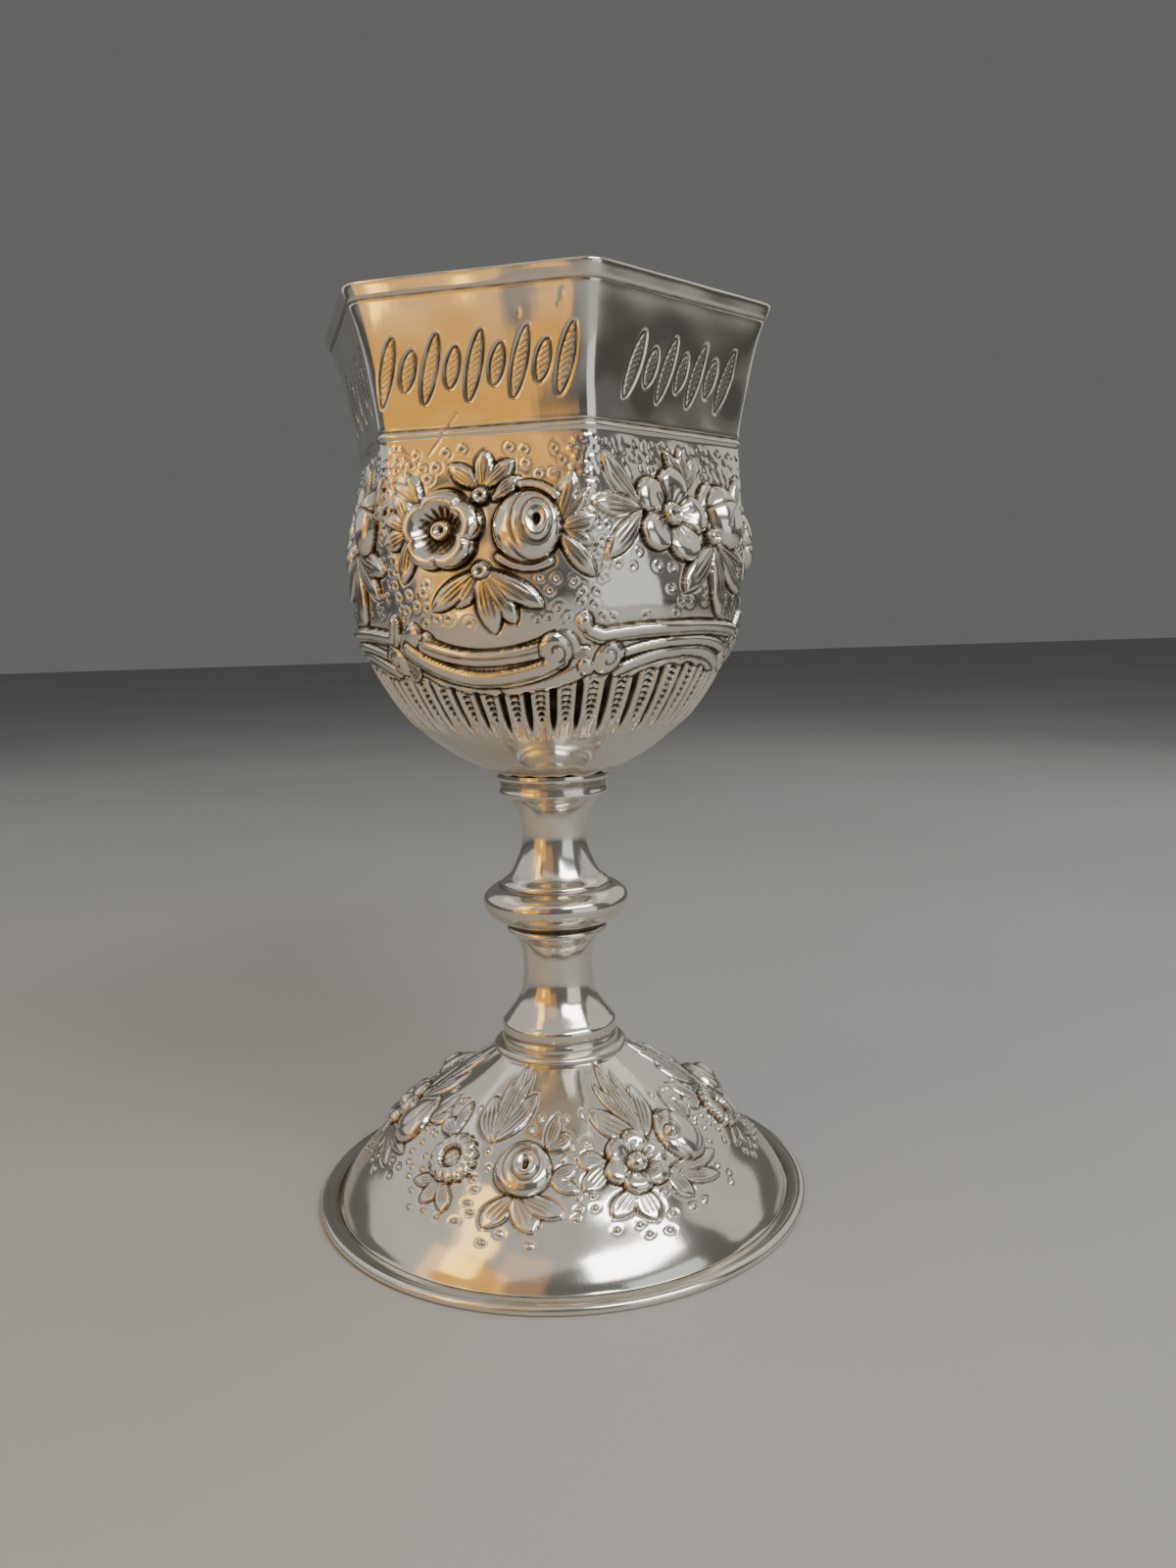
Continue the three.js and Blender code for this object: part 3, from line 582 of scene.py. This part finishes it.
def steps_between(first, *stops):
    """Heights from the first one through (end, step) stops, each with its own step."""
    heights = [first]
    for end, step in stops:
        count = max(1, round((end - heights[-1]) / step))
        heights.extend(np.linspace(heights[-1], end, count + 1)[1:])
    return np.array(heights)


def recess(work):
    """The height of the finished surface, and how deep each place lies in shade, from 0 to 1."""
    lift = soften(work.raised - LINE_DEPTH * work.line, 0.5, 0.5)
    sunk = soften(lift, SHADE_REACH, SHADE_REACH) - lift
    return lift, np.clip(0.75 * soften(work.line, 0.4, 0.4) + 0.9 * np.maximum(sunk - 0.08, 0), 0, 1)


def bowl_outside():
    """The outer skin below the lip: its points and shade, and its relief with the heights of its rows."""
    azimuth = face_columns(FACE_COLUMNS)
    strip = CUP_HEIGHT - LIP_STRIP
    heights = steps_between(
        BOWL_BASE, (FLUTE_FOOT - 1, 0.6), (FLUTE_TOP, 0.27), (CREASE + 1, 0.205), (118.8, 0.4),
        (129, 0.24), (strip - 0.6, 0.6), (strip + 0.6, 0.15), (CUP_HEIGHT - 0.4, 0.4),
    )
    height = heights[:, None]
    base, slope = along(BOWL_PROFILE, height)
    steep = np.hypot(1, slope)

    whole = Chasing(azimuth[None, :], height)
    _, middles, halves = face_at(CORNERS + 1)
    for face, (middle, half) in enumerate(zip(middles, halves)):
        off = turn_from(middle, azimuth)
        columns = np.flatnonzero(np.abs(off) < FACE_REACH)
        columns = columns[np.argsort(off[columns])]
        x = base * np.cos(np.radians(half)) * np.tan(np.radians(off[columns]))[None, :]
        work = Chasing(x, height)
        if is_arched(face):
            bud_spray(work)
            arched_scroll(work)
            work.scatter(work.pebble, face, 110, 115, 1.25, 0.5, 5)
            strokes(work, -9.5, 12)
        else:
            rose_spray(work)
            sagging_scroll(work)
            strokes(work, -13.5, 13)
        work.scatter(work.punch, face, 91.5, 115)
        if face == WORN_FACE:
            wear(work)
        past_corner = np.abs(x) >= base * np.sin(np.radians(half))
        work.line = np.where((height > CREASE) & past_corner, 0, work.line)
        work.onto(whole, columns)
    flutes(whole)

    whole.cut(0.6 * bump(height - (strip - 0.2), 0.2))
    whole.cut(0.8 * bump(height - (CREASE + 0.55), 0.2))
    whole.raised = whole.raised + 0.3 * bump(height - CREASE, 0.35)
    whole.raised = whole.raised + 0.1 * smooth(height, strip - 0.3, strip + 0.3)
    for ring in (68.7, 69.4):
        whole.cut(0.7 * bump(height - ring, 0.14))

    lift, shade = recess(whole)
    lift = lift + ripple(whole.x, height, 3, 14, 0.09)
    radius = base * six_sided_share(azimuth[None, :], height) + lift / steep
    return grid(azimuth, radius, height - lift * slope / steep), shade, lift, heights


def finish_lip(points, shade):
    """Rolls the outer skin over the lip and a little way down inside."""
    top = points[-1]
    out = top[:, :2] / np.linalg.norm(top[:, :2], axis=1)[:, None]
    turns = [(0, 0.25), (-0.12, 0.38), (-0.32, 0.42), (-0.6, 0.4), (-0.85, 0.3), (-1, 0.05), (-1.12, -0.5)]
    rows = [np.column_stack([top[:, :2] + inwards * out, top[:, 2] + up]) for inwards, up in turns]
    return np.concatenate([points, rows]), np.concatenate([shade, np.zeros((len(turns), shade.shape[1]))])


def bowl_inside(outer_lift, outer_heights):
    """The inner face of the sheet, dented where the outside is raised."""
    every = 2
    azimuth = face_columns(FACE_COLUMNS)[::every]
    heights = steps_between(BOWL_BASE + 1.2, (CREASE, 0.5), (CUP_HEIGHT - 0.4, 0.9))
    height = heights[:, None]
    base, slope = along(BOWL_PROFILE, height)
    steep = np.hypot(1, slope)
    soft = soften(np.clip(outer_lift, 0, 2), 5, 5)[:, ::every]
    dents = np.stack([np.interp(heights, outer_heights, column) for column in soft.T], 1)
    low = smooth(height, FLUTE_TOP, FLUTE_TOP + 3)
    lift = 0.75 * dents * low - WALL
    radius = base * six_sided_share(azimuth[None, :], height) + lift / steep
    points = grid(azimuth, radius, height - lift * slope / steep)
    shade = np.clip(0.25 * dents * low, 0, 0.3)
    reach, bottom = points[0, :, 0].max(), points[0, 0, 2]
    middle = [(share * reach, bottom - 0.3 * (1 - share**2), 0) for share in (0.02, 0.3, 0.6, 0.85)]
    middle_points, middle_shade = rings(azimuth, middle)
    return np.concatenate([middle_points, points])[::-1], np.concatenate([middle_shade, shade])[::-1]


def daisy_spray(work):
    """A daisy and a rose side by side, under tall leaves."""
    work.fan((-1.4, 3.6), [(-6.4, 10), (4.8, 11.2), (-1.8, 15.4)], 3.8, 0.34)
    work.fan((-1.2, 5), [(-4.4, 13.4), (1.8, 14)], 2, 0.3)
    work.fan((-8.6, 3.2), [(-13.6, 4.6), (-11.4, 8.2)], 2.6, 0.3)
    work.fan((8.2, 3.4), [(12.6, 5.2), (10.2, 8.4)], 2.4, 0.3)
    work.fan((-6, -3.6), [(-11, -6), (-8.2, -8.8), (-4.4, -9)], 2.3, 0.3)
    work.fan((4.6, -3.6), [(1.2, -9.8), (7.2, -10), (10.8, -7.4)], 3.2, 0.32)
    work.fan((9, -1), [(12.6, -3.4), (12.8, 0.4)], 2.2, 0.28)
    work.daisy((-6.4, -0.3), 4.1, 15, 1.1)
    work.rose((5.1, 0), 4.2, 4.3, 1.8, (5.7, 0.3), (1.9, 2.2))


def flower_spray(work):
    """An open flower and a bud side by side, under tall leaves."""
    flower, bud = (-4.4, -0.3), (5.3, 1.5)
    work.fan((-1.2, 3), [(-9.6, 8.4), (4.4, 10.6), (-2.4, 15.4)], 3.9, 0.34)
    work.fan((-1, 4.6), [(-6.2, 12.4), (1.6, 13.6)], 2.1, 0.3)
    work.fan((-8.4, 0.6), [(-13, 1.6), (-12.6, -3.4)], 3, 0.32)
    work.fan((-5.4, -3.6), [(-9.4, -8.2), (-4.4, -10)], 3.2, 0.34)
    work.fan((-0.8, -3), [(7.4, -7.4), (1.6, -8.4), (9.4, -3.6)], 2.6, 0.32)
    work.fan((8.8, 3), [(12.8, 5.4), (10, 8.2)], 2.4, 0.3)
    work.cushion(bud, 4, 4.6, 20, 1.7)
    work.groove(arc_path((7.6, 0.6), 4.6, 110, 225, 12), 0.9)
    work.groove(arc_path((3.2, 2), 4.4, -60, 50, 12), 0.8)
    work.cushion((3.2, 2.2), 1.1, 1.1, 0, 2.1)
    work.petals(flower, 6, 15, 3, 2.1, 1.3)
    work.cushion(flower, 1.6, 1.6, 0, 1.6)


def foot_outside():
    """The foot's outer skin, from the seat of the stem down the dome and over the flange to the floor."""
    azimuth = np.linspace(0, 360, FOOT_COLUMNS, endpoint=False)
    heights = steps_between(FLANGE_THICKNESS, (4.6, 0.3), (20.9, 0.145), (FOOT_TOP - 0.9, 0.3))[::-1]
    height = heights[:, None]
    base, slope = along(FOOT_PROFILE, height)
    steep = np.hypot(1, slope)
    whole = Chasing(azimuth[None, :], height)
    for spray in range(SPRAYS):
        off = turn_from(FIRST_SPRAY + spray * SPRAY_STEP, azimuth)
        columns = np.flatnonzero(np.abs(off) < SPRAY_REACH)
        columns = columns[np.argsort(off[columns])]
        x = np.radians(off[columns])[None, :] * GARLAND_RADIUS
        work = Chasing(x, (height - GARLAND_HEIGHT) / GARLAND_RISE)
        (flower_spray if spray % 2 else daisy_spray)(work)
        work.scatter(work.bead, spray, -12, 9, 2.5, 1, 2.6)
        work.onto(whole, columns)
    lift, shade = recess(whole)
    lift = lift + ripple(whole.x, height, 5, 9, 0.07)
    points = grid(azimuth, base + lift / steep, height - lift * slope / steep)
    worn_shade = 0.8 * shade

    seat_points, seat_shade = rings(azimuth, [
        (8.3, FOOT_TOP + 0.4, 0.2), (9.4, FOOT_TOP + 0.45, 0.2), (10.2, FOOT_TOP + 0.3, 0.2),
        (10.65, FOOT_TOP - 0.15, 0.2), (10.6, FOOT_TOP - 0.6, 0.2), (10.3, FOOT_TOP - 0.85, 0.2),
    ])
    crease = FOOT_RADIUS - FLANGE_WIDTH
    flange_points, flange_shade = rings(azimuth, [
        (crease + 0.15, 1.12, 0.7), (crease + 0.4, 1.27, 0.3), (crease + 1.2, 1.34, 0.12),
        (FOOT_RADIUS - 1.3, 1.36, 0.12), (FOOT_RADIUS - 1.15, 1.32, 0.25), (FOOT_RADIUS - 1, 1.38, 0.08),
        (FOOT_RADIUS - 0.5, 1.38, 0.08), (FOOT_RADIUS - 0.12, 1.12, 0.08), (FOOT_RADIUS, 0.75, 0.08),
        (FOOT_RADIUS, 0.5, 0.08), (FOOT_RADIUS - 0.1, 0.2, 0.08), (FOOT_RADIUS - 0.35, 0, 0.08),
        (FOOT_RING, 0, 0.08),
    ])
    all_points = np.concatenate([seat_points, points, flange_points])
    all_shade = np.concatenate([seat_shade, worn_shade, flange_shade])
    return all_points[::-1], all_shade[::-1]


def foot_inside():
    """The plain hollow under the foot, closed where the stem is soldered on."""
    azimuth = np.linspace(0, 360, FOOT_COLUMNS // 3, endpoint=False)
    heights = steps_between(3.2, (FOOT_TOP - 1.4, 0.7))
    base, slope = along(FOOT_PROFILE, heights[:, None])
    steep = np.hypot(1, slope)
    points = grid(azimuth, base - WALL / steep, heights[:, None] + WALL * slope / steep)
    dull = 0.25
    rim, _ = rings(azimuth, [(FOOT_RING, 0, dull), (FOOT_RING - 0.6, 0.6, dull)])
    top = points[-1, 0, 2] + 0.1
    cap, _ = rings(azimuth, [(radius, top, dull) for radius in (7, 4, 1.5, 0.05)])
    rows = np.concatenate([rim, points, cap])[::-1]
    return rows, np.full(rows.shape[:2], dull)


def stem_skin():
    """The turned stem, with two runs of solder that sag down it."""
    azimuth = np.linspace(0, 360, STEM_COLUMNS, endpoint=False)
    outline = np.array(STEM_OUTLINE)
    run = np.concatenate([[0], np.cumsum(np.hypot(*np.diff(outline, axis=0).T))])
    at = np.linspace(0, run[-1], STEM_ROWS)
    radius = along(list(zip(run, outline[:, 0])), at)[0][:, None]
    height = along(list(zip(run, outline[:, 1])), at)[0][:, None]
    off = turn_from(SOLDER_SIDE, azimuth[None, :])
    uneven = 1 + 0.05 * np.sin(np.radians(off) * 11)
    lift = ripple(azimuth[None, :], height, 8, 7, 0.02)
    for top, drop, reach in SOLDER_RUNS:
        sag = drop * np.clip(1 - np.abs(off / reach) ** 3, 0, 1) ** 0.5 * uneven
        lift = lift + 0.28 * smooth(sag - (top - height), 0, 0.45) * smooth(top + 0.3 - height, 0, 0.4)
    shade = soften(np.clip(4 * (soften(radius + lift, 3, 1) - radius - lift), 0, 0.9), 0.8, 0.8)
    return grid(azimuth, radius + lift, height), shade


# ---------------------------------------------------------------- meshes


def skin_normals(points):
    """Smooth normals of a skin that closes round in its columns, shared by the pieces cut from it."""
    across = np.roll(points, -1, 1) - np.roll(points, 1, 1)
    up = np.gradient(points, axis=0)
    normals = np.cross(across, up)
    return normals / np.maximum(np.linalg.norm(normals, axis=-1, keepdims=True), 1e-12)


def skin_pieces(name, node, points, shade, material, parts=1):
    """Makes a skin into pieces side by side. Seen from its face, columns run right and rows run up."""
    normals = skin_normals(points)
    rows, columns = shade.shape
    bounds = np.linspace(0, columns, parts + 1).astype(int)
    for part, (start, end) in enumerate(zip(bounds, bounds[1:])):
        wide = end - start + (parts > 1)
        chosen = np.arange(start, start + wide) % columns
        label = f"{name}_{part + 1}" if parts > 1 else name
        row, column = np.meshgrid(np.arange(rows - 1), np.arange(end - start), indexing="ij")
        after = (column + 1) % wide
        low, high = row * wide, (row + 1) * wide
        quads = np.stack([low + column, low + after, high + after, high + column], -1).reshape(-1, 4)
        piece = mesh_piece(label, points[:, chosen], quads, normals[:, chosen], shade[:, chosen])
        piece.data.materials.append(material)
        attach(piece, "root")
        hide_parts(node)


def mesh_piece(name, points, quads, normals, shade):
    """One mesh object, with its own normals and the shade of each point for the material."""
    mesh = bpy.data.meshes.new(name)
    mesh.vertices.add(points.shape[0] * points.shape[1])
    mesh.vertices.foreach_set("co", (points * MM).astype(np.float32).ravel())
    mesh.loops.add(quads.size)
    mesh.loops.foreach_set("vertex_index", quads.astype(np.int32).ravel())
    mesh.polygons.add(len(quads))
    mesh.polygons.foreach_set("loop_start", np.arange(0, quads.size, 4, dtype=np.int32))
    mesh.polygons.foreach_set("use_smooth", np.ones(len(quads), bool))
    mesh.update(calc_edges=True)
    mesh.normals_split_custom_set_from_vertices(normals.reshape(-1, 3).astype(np.float32))
    depth = mesh.attributes.new("recess", "FLOAT", "POINT")
    depth.data.foreach_set("value", shade.astype(np.float32).ravel())
    piece = bpy.data.objects.new(name, mesh)
    bpy.context.scene.collection.objects.link(piece)
    return piece


# ---------------------------------------------------------------- materials


class Nodes:
    """A material's node tree, with a short way to add and link nodes."""

    def __init__(self, name):
        self.material = bpy.data.materials.new(name)
        self.material.use_nodes = True
        self.tree = self.material.node_tree
        self.shader = self.tree.nodes["Principled BSDF"]

    def add(self, kind, inputs=(), **settings):
        node = self.tree.nodes.new(kind)
        for key, value in settings.items():
            setattr(node, key, value)
        for socket, value in dict(inputs).items():
            self.set(node.inputs[socket], value)
        return node

    def set(self, socket, value):
        if isinstance(value, bpy.types.NodeSocket):
            self.tree.links.new(value, socket)
        else:
            socket.default_value = value

    def range(self, value, low, high, to_low, to_high):
        inputs = {"Value": value, "From Min": low, "From Max": high, "To Min": to_low, "To Max": to_high}
        return self.add("ShaderNodeMapRange", inputs).outputs["Result"]

    def mix(self, factor, low, high):
        node = self.add("ShaderNodeMix", data_type="RGBA")
        self.set(node.inputs["Factor"], factor)
        self.set(node.inputs[6], low)
        self.set(node.inputs[7], high)
        return node.outputs[2]

    def noise(self, scale, detail=3.0, stretch=(1, 1, 1)):
        place = self.add("ShaderNodeTexCoord").outputs["Object"]
        stretched = self.add("ShaderNodeVectorMath", {0: place, 1: stretch}, operation="MULTIPLY")
        inputs = {"Vector": stretched.outputs[0], "Scale": scale, "Detail": detail}
        return self.add("ShaderNodeTexNoise", inputs).outputs["Fac"]


def silver():
    """Polished silver, with tarnish in the recesses, thin cloudy stain and fine scratches."""
    nodes = Nodes("silver")
    deep = nodes.add("ShaderNodeAttribute", attribute_name="recess").outputs["Fac"]
    cloud = nodes.noise(70, 4)
    grime = nodes.noise(420, 3)
    worn = nodes.range(grime, 0.3, 0.7, 0.75, 1.25)
    dark = nodes.add("ShaderNodeMath", {0: deep, 1: worn}, operation="MULTIPLY").outputs[0]
    bright = nodes.mix(nodes.range(cloud, 0.4, 0.75, 0, 1), BRIGHT_SILVER, CLOUDED_SILVER)
    stained = nodes.mix(nodes.range(dark, 0.12, 0.55, 0, 1), bright, TARNISH)
    colour = nodes.mix(nodes.range(dark, 0.5, 0.95, 0, 1), stained, BLACKENED)
    nodes.set(nodes.shader.inputs["Base Color"], colour)
    nodes.shader.inputs["Metallic"].default_value = 1
    rough = nodes.range(dark, 0.05, 0.7, 0.13, 0.5)
    nodes.set(nodes.shader.inputs["Roughness"], rough)
    scratches = nodes.noise(900, 2, (1, 1, 0.12))
    pits = nodes.noise(260, 2)
    height = nodes.add("ShaderNodeMath", {0: scratches, 1: pits}, operation="ADD").outputs[0]
    surface = nodes.add("ShaderNodeBump", {"Height": height, "Strength": 0.12, "Distance": 0.00006})
    nodes.set(nodes.shader.inputs["Normal"], surface.outputs["Normal"])
    return nodes.material


def floor_paint():
    """Pale matt paint, a little uneven in tone."""
    nodes = Nodes("floor")
    tone = nodes.range(nodes.noise(6, 2), 0.3, 0.7, 0, 1)
    nodes.set(nodes.shader.inputs["Base Color"], nodes.mix(tone, *FLOOR_TONES))
    nodes.shader.inputs["Roughness"].default_value = 0.7
    return nodes.material


# ---------------------------------------------------------------- surroundings


def make_floor():
    """A plain floor under the cup."""
    bpy.ops.mesh.primitive_plane_add(size=6, location=(0, 0, 0))
    floor = bpy.context.object
    floor.name = "floor"
    floor.data.materials.append(floor_paint())


def make_camera():
    """The camera stands a little left of a corner of the bowl, at the height of its work, tipped down."""
    azimuth, distance, height = -11.2, 183.93, 90.89
    yaw, pitch, roll = np.radians([1.72 - azimuth, 7.8, -1.41])
    forward = Vector((np.sin(yaw) * np.cos(pitch), np.cos(yaw) * np.cos(pitch), -np.sin(pitch)))
    right = Vector((np.cos(yaw), -np.sin(yaw), 0))
    up = right.cross(forward)
    across = right * np.cos(roll) + up * np.sin(roll)
    rotation = Matrix((across, forward.cross(across) * -1, -forward)).transposed()
    data = bpy.data.cameras.new("camera")
    data.sensor_width = 36
    data.lens = 27.08
    data.clip_start = 0.01
    camera = bpy.data.objects.new("camera", data)
    place = grid(azimuth, distance, height).reshape(3) * MM
    camera.matrix_world = Matrix.Translation(place) @ rotation.to_4x4()
    bpy.context.scene.collection.objects.link(camera)
    bpy.context.scene.camera = camera


def make_panel(name, azimuth, elevation, distance, size, glow, colour):
    """A soft panel that faces the cup, seen in its reflections alone. Distances are in metres."""
    data = bpy.data.lights.new(name, "AREA")
    data.shape = "RECTANGLE"
    data.size, data.size_y = size
    data.energy = glow * np.pi * size[0] * size[1]
    data.color = colour
    panel = bpy.data.objects.new(name, data)
    target = Vector((0, 0, 0.09))
    rise = np.radians(elevation)
    offset = grid(azimuth, distance * np.cos(rise), distance * np.sin(rise)).reshape(3)
    panel.location = target + Vector(offset)
    panel.rotation_euler = (target - panel.location).to_track_quat("-Z", "Y").to_euler()
    panel.visible_camera = False
    bpy.context.scene.collection.objects.link(panel)


def make_lights():
    """A grey room with a warm lamp on the left, a high window on the right and soft light from above."""
    world = bpy.data.worlds.new("studio")
    bpy.context.scene.world = world
    world.use_nodes = True
    world.node_tree.nodes["Background"].inputs["Color"].default_value = (0.13, 0.13, 0.125, 1)
    make_panel("lamp", -61, 4, 0.25, (0.19, 0.17), 0.85, (1, 0.45, 0))
    make_panel("lamp_core", -58, -8, 0.22, (0.02, 0.04), 3, (1, 0.6, 0.05))
    make_panel("lamp_top", -66, 28, 0.3, (0.08, 0.16), 2.6, (1, 0.6, 0.08))
    make_panel("wall", -34, 22, 0.4, (0.16, 0.34), 0.3, (1, 0.48, 0.14))
    make_panel("window", 28, 39, 0.6, (0.46, 0.17), 10, (0.97, 0.99, 1))
    make_panel("card", 34, 6, 0.5, (0.36, 0.26), 0.85, (0.9, 0.96, 1))
    for side in (-1, 1):
        make_panel("side_card", side * 114, 28, 0.6, (0.85, 0.5), 0.45, (1, 0.98, 0.94))
    make_panel("ceiling", 0, 88, 0.62, (1.3, 1.3), 0.36, (1, 0.98, 0.93))


# ---------------------------------------------------------------- the scene

make_camera()
make_floor()
make_lights()

metal = silver()
outside, outside_shade, raised, raised_heights = bowl_outside()
skin_pieces("bowl_outside", "bowl", *finish_lip(outside, outside_shade), metal, 3)
skin_pieces("bowl_inside", "bowl", *bowl_inside(raised, raised_heights), metal)
skin_pieces("stem_skin", "stem", *stem_skin(), metal)
skin_pieces("foot_outside", "foot", *foot_outside(), metal, 2)
skin_pieces("foot_inside", "foot", *foot_inside(), metal)
